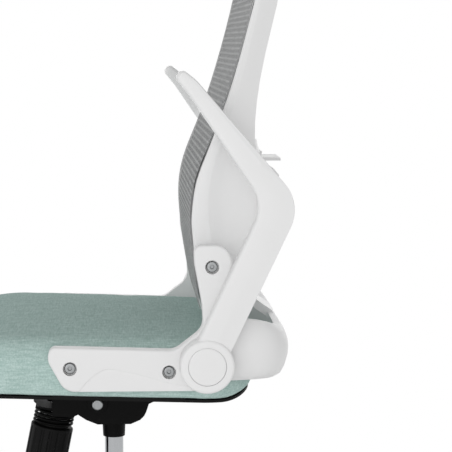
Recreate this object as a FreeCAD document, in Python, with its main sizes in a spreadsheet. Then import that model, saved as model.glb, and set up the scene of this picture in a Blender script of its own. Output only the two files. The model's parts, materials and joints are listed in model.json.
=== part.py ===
import FreeCAD, Part
import math
import os
import Sketcher

Vector = FreeCAD.Vector
Rotation = FreeCAD.Rotation
Placement = FreeCAD.Placement

doc = FreeCAD.newDocument("OfficeChair")
dim = doc.addObject("Spreadsheet::Sheet", "dim")

# Driving dimensions in millimetres and degrees. Z is up, the sitter faces -Y, +X is the sitter's left.
sizes = {
    # clearances
    "fit": 0.05,
    "gap": 0.3,
    # casters
    "wheel_radius": 27.5,
    "wheel_width": 17,
    "wheel_spacing": 17,
    "wheel_dish": 5,
    "caster_trail": 20,
    "caster_turn": 115,
    "caster_axle_radius": 4,
    "hood_clearance": 2.5,
    "hood_wall": 3.5,
    "hood_web": 14,
    "stem_radius": 5.5,
    "stem_grip": 25,
    "stem_socket_radius": 11,
    # five-star base
    "stem_circle": 290,
    "stem_boss_radius": 18,
    "stem_boss_height": 30,
    "hub_radius": 34,
    "hub_height": 58,
    "leg_root_width": 48,
    "leg_root_height": 44,
    "leg_tip_width": 33,
    "leg_tip_height": 24,
    # gas spring
    "column_radius": 25,
    "column_wall": 1.5,
    "column_drop": 14,
    "column_floor": 4,
    "column_top": 219,
    "bush_length": 70,
    "bush_rim": 3,
    "tube_radius": 14,
    "tube_wall": 2,
    "tube_bottom": 118,
    "tube_seal_height": 12,
    "rod_radius": 5,
    "rod_shoulder": 4,
    "lift_up": 60,
    "lift_down": 40,
    "piston_height": 14,
    "bearing_radius": 12,
    "bearing_height": 5,
    "clip_thickness": 3,
    "release_pin_radius": 3.5,
    "release_pin_height": 8,
    # tilt mechanism
    "tilt_axis_height": 331,
    "tilt_axis_setback": -24,
    "tilt_axle_radius": 5,
    "tilt_head_radius": 8.2,
    "tilt_head_height": 5,
    "housing_width": 130,
    "housing_steel": 3,
    "cone_length": 31,
    "cone_low_radius": 16.5,
    "cone_top_radius": 18,
    "cone_flange": 4,
    "knob_lean": 11.5,
    "knob_radius": 32,
    "knob_length": 66,
    "knob_setback": -93,
    "knob_drop": 43.5,
    "knob_ribs": 16,
    "knob_rib_height": 1.6,
    "knob_neck_radius": 25,
    "knob_neck_height": 10,
    "spring_length": 30,
    "spring_radius": 28.4,
    "spring_wire": 4.2,
    "spring_turns": 4.5,
    "spring_washer_radius": 35,
    "spring_bore": 16,
    "tension_bolt_radius": 5,
    "lever_rod_radius": 4,
    "lever_reach": 205,
    "lever_fall": 15,
    "lever_pin_radius": 2.5,
    "lever_pivot_inset": 10,
    "paddle_length": 62,
    "paddle_width": 34,
    "paddle_thickness": 9,
    # seat
    "plate_rise": 29,
    "plate_width": 176,
    "plate_length": 200,
    "plate_front": 105,
    "plate_screw_radius": 3,
    "seat_slope": 2,
    "pan_width": 476,
    "pan_thickness": 12,
    "pan_rim": 4,
    "pan_core_width": 220,
    "seat_width": 490,
    "seat_front": 265,
    "seat_rear": 205,
    "seat_side_height": 78,
    "seat_crown": 12,
    "seat_corner": 80,
    "upstand_thickness": 14,
    "upstand_height": 60,
    # side brackets and flip-up arms
    "bracket_inner": 246,
    "bracket_thickness": 18,
    "swoosh_depth": 2.2,
    "bolt_recess_radius": 9.5,
    "bolt_recess_depth": 9,
    "bolt_head_radius": 7.5,
    "bolt_head_height": 6,
    "bolt_radius": 4,
    "arm_pivot_setback": 127,
    "arm_pivot_rise": 64,
    "arm_hub_radius": 37,
    "arm_thickness": 27,
    "arm_hub_rim": 2,
    "arm_ridge_angle": 8,
    "pivot_pin_radius": 9,
    "pivot_head_radius": 16,
    "pivot_head_height": 4,
    "pivot_nut_radius": 13,
    "pivot_nut_height": 5,
    "cap_radius": 26,
    "cap_height": 5,
    "friction_washer_radius": 30,
    "friction_washer_height": 1,
    "armrest_breadth": 48,
    # back
    "back_half_width": 229,
    "back_rail_width": 21,
    "back_top": 690,
    "back_corner": 75,
    "mesh_thickness": 2,
    "mesh_setback": -2.1,
    "mesh_tuck": 18,
    "spine_half_width": 48,
    "spine_thickness": 9,
    "yoke_thickness": 13,
    "lumbar_width": 190,
    "lumbar_height": 60,
    "lumbar_middle": 307,
    "lumbar_front": 129.5,
    "lumbar_thickness": 14,
    "lumbar_slot": 18,
    "lumbar_travel": 12,
    "grip_width": 84,
}
for row, (alias, amount) in enumerate(sizes.items(), 1):
    dim.set("A%d" % row, alias)
    dim.set("B%d" % row, str(amount))
    dim.setAlias("B%d" % row, alias)
doc.recompute()


def value(expression):
    return float(dim.evalExpression(expression))


def size(alias):
    return value("dim." + alias)


subparts = []


def keep(thing, label):
    thing.Label = label
    subparts.append(thing)
    return thing


def profile(body, role, points):
    # a closed outline whose corners are bound to the sheet, on one of the body's own origin planes
    sketch = body.newObject("Sketcher::SketchObject", body.Name + "_outline")
    plane = [item for item in body.Origin.OriginFeatures if item.Role == role][0]
    sketch.AttachmentSupport = [(plane, "")]
    sketch.MapMode = "FlatFace"
    corners = [Vector(value(across), value(along), 0) for across, along in points]
    for here, corner in enumerate(corners):
        sketch.addGeometry(Part.LineSegment(corner, corners[(here + 1) % len(corners)]), False)
    for here in range(len(corners)):
        sketch.addConstraint(Sketcher.Constraint("Coincident", here, 2, (here + 1) % len(corners), 1))
    for here, (across, along) in enumerate(points):
        for kind, expression in (("DistanceX", across), ("DistanceY", along)):
            number = sketch.addConstraint(Sketcher.Constraint(kind, here, 1, value(expression)))
            sketch.setExpression("Constraints[%d]" % number, expression)
    return sketch


def turned(label, points, placement=None):
    # radius and height pairs, spun about the body's Z axis
    body = doc.addObject("PartDesign::Body", label)
    spin = body.newObject("PartDesign::Revolution", label + "_turn")
    spin.Profile = profile(body, "XZ_Plane", points)
    spin.ReferenceAxis = (spin.Profile[0], ["V_Axis"])
    spin.Angle = 360
    if placement:
        body.Placement = placement
    return keep(body, label)


def ring(label, outer, inner, low, high, placement=None):
    return turned(label, [(inner, low), (outer, low), (outer, high), (inner, high)], placement)


def freeform(label, shape):
    thing = doc.addObject("Part::Feature", label)
    thing.Shape = shape
    thing.Placement = shape.Placement
    return keep(thing, label)


def rod_between(start, end, radius):
    return Part.makeCylinder(radius, (end - start).Length, start, end - start)


def across_x(x_from, x_to, y, z, radius):
    return rod_between(Vector(x_from, y, z), Vector(x_to, y, z), radius)


def box(x_from, x_to, y_from, y_to, z_from, z_to):
    corner = Vector(x_from, y_from, z_from)
    return Part.makeBox(x_to - x_from, y_to - y_from, z_to - z_from, corner)


def joined(first, *others):
    return first.fuse(list(others)).removeSplitter()


def mirrored(shape):
    return shape.mirror(Vector(0, 0, 0), Vector(1, 0, 0))


def rounded_wire(corners, radius):
    # a closed wire through the corners, each corner an arc no larger than its sides allow
    wires = []
    count = len(corners)
    radii = radius if isinstance(radius, list) else [radius] * count
    starts = []
    ends = []
    middles = []
    for here in range(count):
        before = corners[here - 1] - corners[here]
        after = corners[(here + 1) % count] - corners[here]
        turn = before.getAngle(after)
        reach = min(radii[here] / math.tan(turn / 2), 0.45 * before.Length, 0.45 * after.Length)
        arc_radius = reach * math.tan(turn / 2)
        inward = (before.normalize() + after.normalize()).normalize()
        centre = corners[here] + inward * (arc_radius / math.sin(turn / 2))
        starts.append(corners[here] + before * reach)
        ends.append(corners[here] + after * reach)
        middles.append(centre - inward * arc_radius)
    for here in range(count):
        wires.append(Part.Arc(starts[here], middles[here], ends[here]).toShape())
        wires.append(Part.LineSegment(ends[here], starts[(here + 1) % count]).toShape())
    return Part.Wire(wires)


def rounded_rect(x_from, x_to, y_from, y_to, z, radius):
    corners = [(x_from, y_from), (x_to, y_from), (x_to, y_to), (x_from, y_to)]
    return rounded_wire([Vector(x, y, z) for x, y in corners], radius)


# Casters: each hangs on a stem in the end of a leg and trails behind it.
leg_count = 5
stem_seat = "(2*dim.wheel_radius + dim.hood_clearance + dim.hood_wall + dim.gap)"
stem_seat_z = value(stem_seat)
axle_z = size("wheel_radius")
leg_angles = [-90 + 360 / leg_count * number for number in range(leg_count)]
trail_turn = size("caster_turn")


def caster_placement(angle):
    # local origin under the stem, local +Y the way the wheels trail
    foot = Rotation(Vector(0, 0, 1), angle).multVec(Vector(size("stem_circle"), 0, 0))
    return Placement(foot, Rotation(Vector(0, 0, 1), angle + trail_turn))


def caster_hood():
    trail = size("caster_trail")
    inner = size("wheel_radius") + size("hood_clearance")
    outer = inner + size("hood_wall")
    half = size("wheel_spacing") / 2 + size("wheel_width") + 1
    web = size("hood_web") / 2
    socket_low = axle_z + 6
    cover = across_x(-half, half, trail, axle_z, outer)
    cover = cover.cut(across_x(-half - 1, half + 1, trail, axle_z, inner))
    cover = cover.common(box(-half, half, trail - outer, trail + outer, axle_z + 4, axle_z + outer))
    plate = across_x(-web, web, trail, axle_z, outer)
    plate = plate.common(box(-web, web, trail - outer, trail + 12, axle_z - 12, axle_z + outer))
    socket_height = axle_z + outer - socket_low
    socket = Part.makeCylinder(size("stem_socket_radius"), socket_height, Vector(0, 0, socket_low))
    side = size("wheel_spacing") / 2 - 0.5
    socket = socket.common(box(-side, side, -20, 20, 0, stem_seat_z))
    hood = joined(cover, plate, socket)
    bore = size("stem_radius") + size("fit")
    hood = hood.cut(Part.makeCylinder(bore, stem_seat_z, Vector(0, 0, stem_seat_z - size("stem_grip"))))
    return hood.cut(across_x(-half, half, trail, axle_z, size("caster_axle_radius") + size("fit")))


def add_casters():
    hood = caster_hood()
    wheel_in = "dim.wheel_spacing/2"
    wheel_out = "(dim.wheel_spacing/2 + dim.wheel_width)"
    wheel = [
        ("dim.caster_axle_radius + dim.fit", wheel_in),
        ("dim.wheel_radius - 3", wheel_in),
        ("dim.wheel_radius", wheel_in + " + 3"),
        ("dim.wheel_radius", wheel_out + " - 4"),
        ("dim.wheel_radius - 4", wheel_out),
        ("dim.wheel_radius - 7", wheel_out),
        ("dim.wheel_radius - 9", wheel_out + " - dim.wheel_dish"),
        ("dim.caster_axle_radius + 5", wheel_out + " - dim.wheel_dish"),
        ("dim.caster_axle_radius + 4", wheel_out + " - 1"),
        ("dim.caster_axle_radius + dim.fit", wheel_out + " - 1"),
    ]
    stems = []
    for number, angle in enumerate(leg_angles, 1):
        place = caster_placement(angle)
        turned_hood = hood.copy()
        turned_hood.Placement = place
        freeform("caster_hood_%d" % number, turned_hood)
        at_axle = Placement(Vector(0, size("caster_trail"), axle_z), Rotation())
        axle = doc.addObject("Part::Cylinder", "caster_axle_%d" % number)
        axle.setExpression("Radius", "dim.caster_axle_radius")
        axle.setExpression("Height", "dim.wheel_spacing + 2*dim.wheel_width - 4")
        start = Vector(-size("wheel_spacing") / 2 - size("wheel_width") + 2, 0, 0)
        axle.Placement = place * at_axle * Placement(start, Rotation(Vector(0, 1, 0), 90))
        keep(axle, "caster_axle_%d" % number)
        for side, turn in (("left", 90), ("right", -90)):
            spun = place * at_axle * Placement(Vector(), Rotation(Vector(0, 1, 0), turn))
            turned("caster_wheel_%d_%s" % (number, side), wheel, spun)
        length = 2 * size("stem_grip") - size("gap")
        low = stem_seat_z - size("stem_grip") + size("gap")
        stems.append(Part.makeCylinder(size("stem_radius"), length, place.Base + Vector(0, 0, low)))
    freeform("caster_stems", Part.makeCompound(stems))


def leg_section(distance, width, low, high):
    half = width / 2
    corners = [(-half, low), (half, low), (half * 0.8, high), (-half * 0.8, high)]
    return rounded_wire([Vector(distance, y, z) for y, z in corners], 7)


def add_star_base():
    low = stem_seat_z
    root_top = low + size("hub_height") - 4
    tip_top = low + size("stem_boss_height") - 3
    root = leg_section(0, size("leg_root_width"), root_top - size("leg_root_height"), root_top)
    knee = leg_section(size("stem_circle") * 0.55, (size("leg_root_width") + size("leg_tip_width")) / 2,
                       tip_top - size("leg_tip_height"), tip_top + 12)
    tip = leg_section(size("stem_circle"), size("leg_tip_width"), tip_top - size("leg_tip_height"), tip_top)
    leg = Part.makeLoft([root, knee, tip], True)
    boss = Part.makeCylinder(size("stem_boss_radius"), size("stem_boss_height"),
                             Vector(size("stem_circle"), 0, low))
    boss = boss.makeFillet(4, [edge for edge in boss.Edges if edge.BoundBox.ZMin > low + 1])
    bore = Part.makeCylinder(size("stem_radius") + size("fit"), size("stem_grip") + size("gap"),
                             Vector(size("stem_circle"), 0, low))
    hub = Part.makeCylinder(size("hub_radius"), size("hub_height"), Vector(0, 0, low))
    hub = hub.makeFillet(5, [edge for edge in hub.Edges if len(edge.Vertexes) == 1])
    base = hub
    for angle in leg_angles:
        turn = Placement(Vector(), Rotation(Vector(0, 0, 1), angle))
        for piece in (leg, boss):
            spoke = piece.copy()
            spoke.Placement = turn
            base = base.fuse(spoke)
    for angle in leg_angles:
        hole = bore.copy()
        hole.Placement = Placement(Vector(), Rotation(Vector(0, 0, 1), angle))
        base = base.cut(hole)
    column_bore = size("column_radius") + size("fit")
    column = Part.makeCylinder(column_bore, 2 * size("hub_height"), Vector(0, 0, low - 10))
    freeform("star_base", base.cut(column).removeSplitter())


# Gas spring: the column stands in the hub, the rod turns in it and the pressure tube slides on the rod.
column_low = "(" + stem_seat + " - dim.column_drop)"
column_floor = "(" + column_low + " + dim.column_floor)"
bearing_top = "(" + column_floor + " + dim.bearing_height)"
tube_inner = "(dim.tube_radius - dim.tube_wall)"
piston_low = "(dim.tube_bottom + dim.tube_seal_height + dim.lift_up + dim.gap)"
pan_low = "(dim.tilt_axis_height + dim.plate_rise + dim.housing_steel)"
housing_floor = "(dim.tilt_axis_height - 31)"
cone_low = "(" + housing_floor + " - dim.cone_length)"
tube_top = "(dim.tilt_axis_height + 2)"


def add_gas_spring():
    wall = "dim.column_radius - dim.column_wall"
    turned("column_tube", [
        ("dim.rod_radius + 1", column_low), ("dim.column_radius", column_low),
        ("dim.column_radius", "dim.column_top"), (wall, "dim.column_top"),
        (wall, column_floor), ("dim.rod_radius + 1", column_floor)])
    bush_low = "dim.column_top - dim.bush_length"
    turned("column_bush", [
        ("dim.tube_radius + dim.fit", bush_low), (wall + " - dim.fit", bush_low),
        (wall + " - dim.fit", "dim.column_top"), ("dim.column_radius", "dim.column_top"),
        ("dim.column_radius", "dim.column_top + dim.bush_rim"),
        ("dim.tube_radius + dim.fit", "dim.column_top + dim.bush_rim")])
    ring("thrust_bearing", "dim.bearing_radius", "dim.rod_radius + dim.fit", column_floor, bearing_top)
    shoulder = bearing_top + " + dim.fit"
    clip_top = column_low + " - dim.gap"
    turned("piston_rod", [
        ("0", column_low + " - 8"), ("dim.rod_radius", column_low + " - 8"),
        ("dim.rod_radius", shoulder), ("dim.bearing_radius - 3", shoulder),
        ("dim.bearing_radius - 3", shoulder + " + dim.rod_shoulder"),
        ("dim.rod_radius", shoulder + " + dim.rod_shoulder"), ("dim.rod_radius", piston_low),
        (tube_inner + " - dim.fit", piston_low),
        (tube_inner + " - dim.fit", piston_low + " + dim.piston_height"),
        ("0", piston_low + " + dim.piston_height")])
    ring("rod_clip", "dim.rod_radius + 4", "dim.rod_radius", clip_top + " - dim.clip_thickness", clip_top)
    turned("pressure_tube", [
        (tube_inner, "dim.tube_bottom"), ("dim.tube_radius", "dim.tube_bottom"),
        ("dim.tube_radius", tube_top), ("dim.release_pin_radius + dim.fit", tube_top),
        ("dim.release_pin_radius + dim.fit", tube_top + " - 6"), (tube_inner, tube_top + " - 6")])
    ring("tube_seal", tube_inner, "dim.rod_radius + dim.fit", "dim.tube_bottom",
         "dim.tube_bottom + dim.tube_seal_height")
    pin = doc.addObject("Part::Cylinder", "release_pin")
    pin.setExpression("Radius", "dim.release_pin_radius")
    pin.setExpression("Height", "dim.release_pin_height + 14")
    pin.Placement = Placement(Vector(0, 0, value(tube_top) - 14), Rotation())
    keep(pin, "release_pin")
    flange_low = housing_floor + " + dim.housing_steel"
    flange_top = flange_low + " + dim.cone_flange"
    turned("mount_cone", [
        ("dim.tube_radius + dim.fit", cone_low), ("dim.cone_low_radius", cone_low),
        ("dim.cone_top_radius", housing_floor), ("dim.cone_top_radius", flange_low),
        ("dim.cone_top_radius + 5", flange_low), ("dim.cone_top_radius + 5", flange_top),
        ("dim.tube_radius + dim.fit", flange_top)])


# Tilt mechanism: a pressed steel housing on the gas spring, and the seat plate that rocks on its axle.
tilt_y = size("tilt_axis_setback")
tilt_z = size("tilt_axis_height")
half_housing = size("housing_width") / 2
steel = size("housing_steel")
plate_low = tilt_z + size("plate_rise")
pan_low_z = value(pan_low)
slope = Placement(Vector(), Rotation(Vector(1, 0, 0), -size("seat_slope")), Vector(0, 0, pan_low_z))
knob_top = Vector(0, size("knob_setback"), tilt_z - size("knob_drop"))
knob_place = Placement(knob_top, Rotation(Vector(1, 0, 0), 180 - size("knob_lean")))
washer_up = size("spring_length")
bridge_up = washer_up + steel
lever_z = value(tube_top) + size("release_pin_height") + size("gap") + size("lever_rod_radius")
lever_x = -half_housing + steel + size("lever_pivot_inset")


def prism(points, x_from, x_to):
    # an outline in Y and Z, drawn from the tilt axis, extruded along X
    corners = [Vector(x_from, tilt_y + y, tilt_z + z) for y, z in points]
    face = Part.Face(Part.makePolygon(corners + corners[:1]))
    return face.extrude(Vector(x_to - x_from, 0, 0))


def placed(shape, placement):
    moved = shape.copy()
    moved.Placement = placement.multiply(moved.Placement)
    return moved


def add_tilt_housing():
    floor = value(housing_floor) - tilt_z
    outer = [(-67, 24), (-67, floor + 13), (-38, floor + 11), (-29, floor + 15), (-17, floor + 7),
             (0, floor), (49, floor), (63, floor + 6), (69, floor + 12), (72, floor + 18), (76, floor + 30),
             (85, floor + 34), (85, 5), (0, 24)]
    inner = [(-14, 40), (-14, floor + 9), (1, floor + steel), (48, floor + steel), (60, floor + 8),
             (66, floor + 14), (69, floor + 20), (73, floor + 33), (82, floor + 37), (82, 40)]
    mouth = [(-80, 40), (-80, floor - 1), (-14, floor - 1), (-14, 40)]
    inside = half_housing - steel
    housing = prism(outer, -half_housing, half_housing)
    housing = housing.cut(prism(inner, -inside, inside)).cut(prism(mouth, -inside, inside))
    bridge = box(-inside, inside, -24, 30, -bridge_up - steel, -bridge_up)
    ears = [box(-inside, lever_x + 5, side, side + 3, lever_z - 6, lever_z + 6) for side in (-10, 7)]
    housing = joined(housing, placed(bridge, knob_place), *ears)
    hole = Part.makeCylinder(size("spring_bore"), 3 * bridge_up, Vector(0, 0, -2 * bridge_up))
    housing = housing.cut(placed(hole, knob_place).common(box(-50, 50, -200, tilt_y - 16, 0, tilt_z + 40)))
    housing = housing.cut(Part.makeCylinder(size("cone_top_radius") + size("fit"), 2 * steel,
                                            Vector(0, 0, value(housing_floor) - 1)))
    axle_bore = size("tilt_axle_radius") + size("fit")
    housing = housing.cut(across_x(-half_housing, half_housing, tilt_y, tilt_z, axle_bore))
    slot = size("lever_rod_radius") + 2.5
    housing = housing.cut(box(-half_housing - 1, -inside + 1, -slot, slot, lever_z - slot, lever_z + slot))
    pin = rod_between(Vector(lever_x, -20, lever_z), Vector(lever_x, 20, lever_z),
                      size("lever_pin_radius") + size("fit"))
    freeform("tilt_housing", housing.cut(pin))


def add_tilt_axle():
    inner = half_housing + steel + 2 * size("gap")
    head = size("tilt_head_height")
    axle = across_x(-inner, inner, tilt_y, tilt_z, size("tilt_axle_radius"))
    for side in (-1, 1):
        disc = across_x(side * inner, side * (inner + head), tilt_y, tilt_z, size("tilt_head_radius"))
        rim = []
        for edge in disc.Edges:
            if edge.BoundBox.XLength < 0.01 and abs(edge.BoundBox.Center.x) > inner + head / 2:
                rim.append(edge)
        axle = joined(axle, disc.makeChamfer(1.2, rim))
    freeform("tilt_axle", axle)


def add_tension_spring():
    wire = size("spring_wire") / 2
    length = size("spring_length") - 2 * wire - 2 * size("gap")
    helix = Part.makeHelix(length / size("spring_turns"), length, size("spring_radius"))
    ring_wire = Part.Wire(Part.makeCircle(wire, Vector(size("spring_radius"), 0, 0), Vector(0, 1, 0)))
    spring = Part.Wire(helix).makePipeShell([ring_wire], True, True)
    spring.translate(Vector(0, 0, -size("spring_length") + wire + size("gap")))
    freeform("tension_spring", placed(spring, knob_place))
    washer = Part.makeCylinder(size("spring_washer_radius"), steel, Vector(0, 0, -bridge_up))
    washer = washer.cut(Part.makeCylinder(size("spring_bore"), 3 * steel, Vector(0, 0, -bridge_up - steel)))
    freeform("spring_washer", placed(washer, knob_place))


def add_tension_knob():
    length = size("knob_length")
    radius = size("knob_radius")
    depth = length - 14
    knob = Part.makeCylinder(radius, length)
    knob = knob.makeFillet(3, [edge for edge in knob.Edges if len(edge.Vertexes) == 1])
    neck = size("knob_neck_height")
    knob = knob.fuse(Part.makeCylinder(size("knob_neck_radius"), neck + 1, Vector(0, 0, -neck)))
    rib = size("knob_rib_height")
    flute = Part.makeCylinder(2 * rib, length, Vector(radius + rib, 0, 5))
    ribs = int(size("knob_ribs"))
    for number in range(ribs):
        turn = Rotation(Vector(0, 0, 1), 360 / ribs * number)
        knob = knob.cut(placed(flute, Placement(Vector(), turn)))
    bolt_radius = size("tension_bolt_radius")
    knob = knob.cut(Part.makeCylinder(bolt_radius + size("fit"), depth + neck, Vector(0, 0, -neck)))
    freeform("tension_knob", placed(knob, knob_place))
    bolt = Part.makeCylinder(bolt_radius, depth - 4 + 120, Vector(0, 0, -120))
    below = placed(box(-50, 50, -200, 50, 0, plate_low), slope)
    freeform("tension_bolt", placed(bolt, knob_place).common(below))


def add_height_lever():
    bore = size("lever_pin_radius") + size("fit")
    radius = size("lever_rod_radius")
    knee = Vector(-half_housing - 12, 0, lever_z)
    tip = Vector(-size("lever_reach"), 0, lever_z - size("lever_fall"))
    inner = rod_between(Vector(0, 0, lever_z), knee, radius)
    lever = joined(inner, Part.makeSphere(radius, knee), rod_between(knee, tip, radius))
    pin_half = Vector(0, 11, 0)
    pivot = Vector(lever_x, 0, lever_z)
    freeform("lever_rod", lever.cut(rod_between(pivot - pin_half, pivot + pin_half, bore)))
    freeform("lever_pin", rod_between(pivot - pin_half, pivot + pin_half, size("lever_pin_radius")))
    half = size("paddle_width") / 2
    thick = size("paddle_thickness")
    grip_start = tip.x + 24
    outline = rounded_rect(tip.x - size("paddle_length") + 24, grip_start, -half, half, 0, half * 0.55)
    paddle = Part.Face(outline).extrude(Vector(0, 0, thick))
    paddle.translate(Vector(0, 0, tip.z - thick / 2 + 1))
    paddle = paddle.makeFillet(thick * 0.4, paddle.Edges)
    freeform("lever_paddle", joined(paddle).cut(rod_between(knee, tip, radius)))


def add_seat_plate():
    half = size("plate_width") / 2
    front = -size("plate_front")
    plate = Part.Face(rounded_rect(-half, half, front, front + size("plate_length"), plate_low, 20))
    plate = plate.extrude(Vector(0, 0, steel))
    plate = placed(plate, slope)
    gap = size("gap")
    above = placed(box(-half, half, -300, 300, plate_low, plate_low + 100), slope)
    for side in (-1, 1):
        near = side * (half_housing + gap)
        far = side * (half_housing + gap + steel)
        ear = box(min(near, far), max(near, far), tilt_y - 15, tilt_y + 15, tilt_z, plate_low + 5)
        ear = joined(ear, across_x(near, far, tilt_y, tilt_z, 15)).cut(above)
        plate = joined(plate, ear)
    plate = plate.cut(across_x(-half, half, tilt_y, tilt_z, size("tilt_axle_radius") + size("fit")))
    for screw in plate_screw_spots():
        hole = Part.makeCylinder(size("plate_screw_radius") + 0.2, 40, screw - Vector(0, 0, 20))
        plate = plate.cut(placed(hole, slope))
    freeform("seat_plate", plate)


def plate_screw_spots():
    half = size("plate_width") / 2 - 14
    front = -size("plate_front") + 16
    rear = front + size("plate_length") - 32
    return [Vector(x, y, plate_low) for x in (-half, half) for y in (front, rear)]


# Seat: a moulded pan with upstands that take the bracket bolts, under an upholstered cushion.
pan_top = pan_low_z + size("pan_thickness")
bracket_inner = size("bracket_inner")
bracket_outer = bracket_inner + size("bracket_thickness")
recess_floor = bracket_outer - size("bolt_recess_depth")
seat_bolt_spots = [(-59, pan_low_z + 58), (76, pan_low_z + 52)]
back_bolt_spot = (135, pan_low_z + 196)
bolt_spots = seat_bolt_spots + [back_bolt_spot]
bolt_length = 30


def add_plate_screws():
    screws = []
    for spot in plate_screw_spots():
        head = Part.makeCylinder(size("plate_screw_radius") + 2.5, 4, spot - Vector(0, 0, 4))
        shank = Part.makeCylinder(size("plate_screw_radius"), steel + 9, spot)
        screws.append(placed(joined(head, shank), slope))
    freeform("plate_screws", Part.makeCompound(screws))


def upstands(margin):
    outer = size("pan_width") / 2
    inner = outer - size("upstand_thickness")
    stands = []
    for side in (-1, 1):
        x_near = min(side * inner, side * outer) - margin
        x_far = max(side * inner, side * outer) + margin
        stand_top = pan_top + size("upstand_height") + margin
        stands.append(box(x_near, x_far, -82 - margin, 98 + margin, pan_top, stand_top))
    return stands


def bolt_holes(spots, radius, x_from, x_to):
    holes = []
    for side in (-1, 1):
        for y, z in spots:
            holes.append(across_x(side * x_from, side * x_to, y, z, radius))
    return holes


def add_seat_pan():
    half = size("pan_width") / 2
    outline = rounded_rect(-half, half, -size("seat_front") + 12, size("seat_rear") - 14,
                           pan_top - size("pan_rim"), size("seat_corner") - 8)
    pan = Part.Face(outline).extrude(Vector(0, 0, size("pan_rim")))
    core = size("pan_core_width") / 2
    under = Part.Face(rounded_rect(-core, core, -core, core, pan_low_z, 40))
    under = under.extrude(Vector(0, 0, size("pan_thickness")))
    pan = placed(joined(pan, under, *upstands(0)), slope)
    pan = pan.cut(bolt_holes(seat_bolt_spots, size("bolt_radius") + size("fit"), 150, bracket_outer))
    for spot in plate_screw_spots():
        hole = Part.makeCylinder(size("plate_screw_radius") + size("fit"), steel + 9.5, spot)
        pan = pan.cut(placed(hole, slope))
    freeform("seat_pan", pan)


def add_seat_cushion():
    half = size("seat_width") / 2
    side = size("seat_side_height")
    crown = size("seat_crown")
    # height above the pan and how far the outline draws in there
    levels = [(0, 10), (6, 3), (16, 0), (side * 0.7, 0), (side * 0.92, 4), (side, 10),
              (side + crown * 0.45, 34), (side + crown * 0.8, 80), (side + crown, 140)]
    sections = []
    for rise, inset in levels:
        radius = max(size("seat_corner") - inset * 0.2, 20)
        sections.append(rounded_rect(-half + inset, half - inset, -size("seat_front") + inset,
                                     size("seat_rear") - inset, pan_top + rise, radius))
    cushion = Part.makeLoft(sections, True, True)
    cushion = cushion.cut(upstands(size("gap")))
    cushion = placed(cushion, slope)
    freeform("seat_cushion", cushion.cut(bolt_holes(seat_bolt_spots, size("bolt_radius") + 1, 150, 300)))


# Side brackets: an L-shaped plate bolted to the seat pan and to the back frame.
pivot_y = size("arm_pivot_setback")
pivot_z = pan_low_z + size("arm_pivot_rise")
pivot_bore = size("pivot_pin_radius") + size("fit")


def bracket_solid():
    corners = [(110, 226), (152, 226), (165, 203), (147, 150), (151, 90), (151, 50), (140, 25), (-66, 26),
               (-90, 70), (-86, 88), (84, 82), (123, 112), (121, 145), (111, 200)]
    wire = rounded_wire([Vector(bracket_inner, y, pan_low_z + z) for y, z in corners], 24)
    bracket = Part.Face(wire).extrude(Vector(size("bracket_thickness"), 0, 0))
    rim = [edge for edge in bracket.Edges if edge.BoundBox.XMin > bracket_outer - 0.1]
    bracket = bracket.makeFillet(3.5, rim)
    line = [(-47, 27), (-39, 37), (-26, 49), (-11, 57), (5, 56), (32, 50), (73, 38), (107, 32)]
    swoosh = Part.BSplineCurve()
    swoosh.interpolate([Vector(bracket_outer - size("swoosh_depth"), y, pan_low_z + z) for y, z in line])
    first = Vector(bracket_outer - size("swoosh_depth"), line[0][0], pan_low_z + line[0][1])
    last = Vector(bracket_outer - size("swoosh_depth"), line[-1][0], pan_low_z + line[-1][1])
    drop = Vector(0, 0, -20)
    below = Part.makePolygon([last, last + drop, first + drop, first]).Edges
    bracket = bracket.cut(Part.Face(Part.Wire([swoosh.toShape()] + below)).extrude(Vector(5, 0, 0)))
    bolt_bore = size("bolt_radius") + size("fit")
    for y, z in bolt_spots:
        bracket = bracket.cut(across_x(recess_floor, bracket_outer + 1, y, z, size("bolt_recess_radius")))
        bracket = bracket.cut(across_x(bracket_inner - 1, bracket_outer, y, z, bolt_bore))
    bracket = bracket.cut(across_x(bracket_inner, bracket_outer, pivot_y, pivot_z, pivot_bore))
    head_floor = bracket_inner + size("pivot_head_height") + 2 * size("gap")
    head_recess = size("pivot_head_radius") + size("gap")
    return bracket.cut(across_x(bracket_inner - 1, head_floor, pivot_y, pivot_z, head_recess))


def hexagon_hole(x_from, x_to, y, z, across):
    corners = []
    for number in range(6):
        turn = math.radians(60 * number)
        corners.append(Vector(x_from, y + across * math.cos(turn), z + across * math.sin(turn)))
    return Part.Face(Part.makePolygon(corners + corners[:1])).extrude(Vector(x_to - x_from, 0, 0))


def add_brackets():
    bracket = bracket_solid()
    freeform("bracket_left", bracket)
    freeform("bracket_right", mirrored(bracket))
    bolts = []
    top = recess_floor + size("bolt_head_height")
    for y, z in bolt_spots:
        head = across_x(recess_floor, top, y, z, size("bolt_head_radius"))
        head = head.makeFillet(1.5, [edge for edge in head.Edges if edge.BoundBox.XMin > top - 0.1])
        shank = across_x(recess_floor - bolt_length, recess_floor, y, z, size("bolt_radius"))
        bolts.append(joined(head, shank).cut(hexagon_hole(top - 3, top + 1, y, z, 3)))
    freeform("bracket_bolts", Part.makeCompound(bolts + [mirrored(bolt) for bolt in bolts]))


# Flip-up arms: each turns on a pin through the bracket, held by a friction washer.
washer_in = bracket_outer
arm_in = washer_in + size("friction_washer_height") + size("gap")
arm_out = arm_in + size("arm_thickness")
hub_out = arm_out + size("arm_hub_rim")
cap_floor = hub_out - size("cap_height")
nut_floor = cap_floor - size("pivot_nut_height") - size("gap")


def arm_outline(corners, radii, x_from, x_to):
    points = [Vector(x_from, pivot_y + y, pivot_z + z) for y, z in corners]
    return Part.Face(rounded_wire(points, radii)).extrude(Vector(x_to - x_from, 0, 0))


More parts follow.
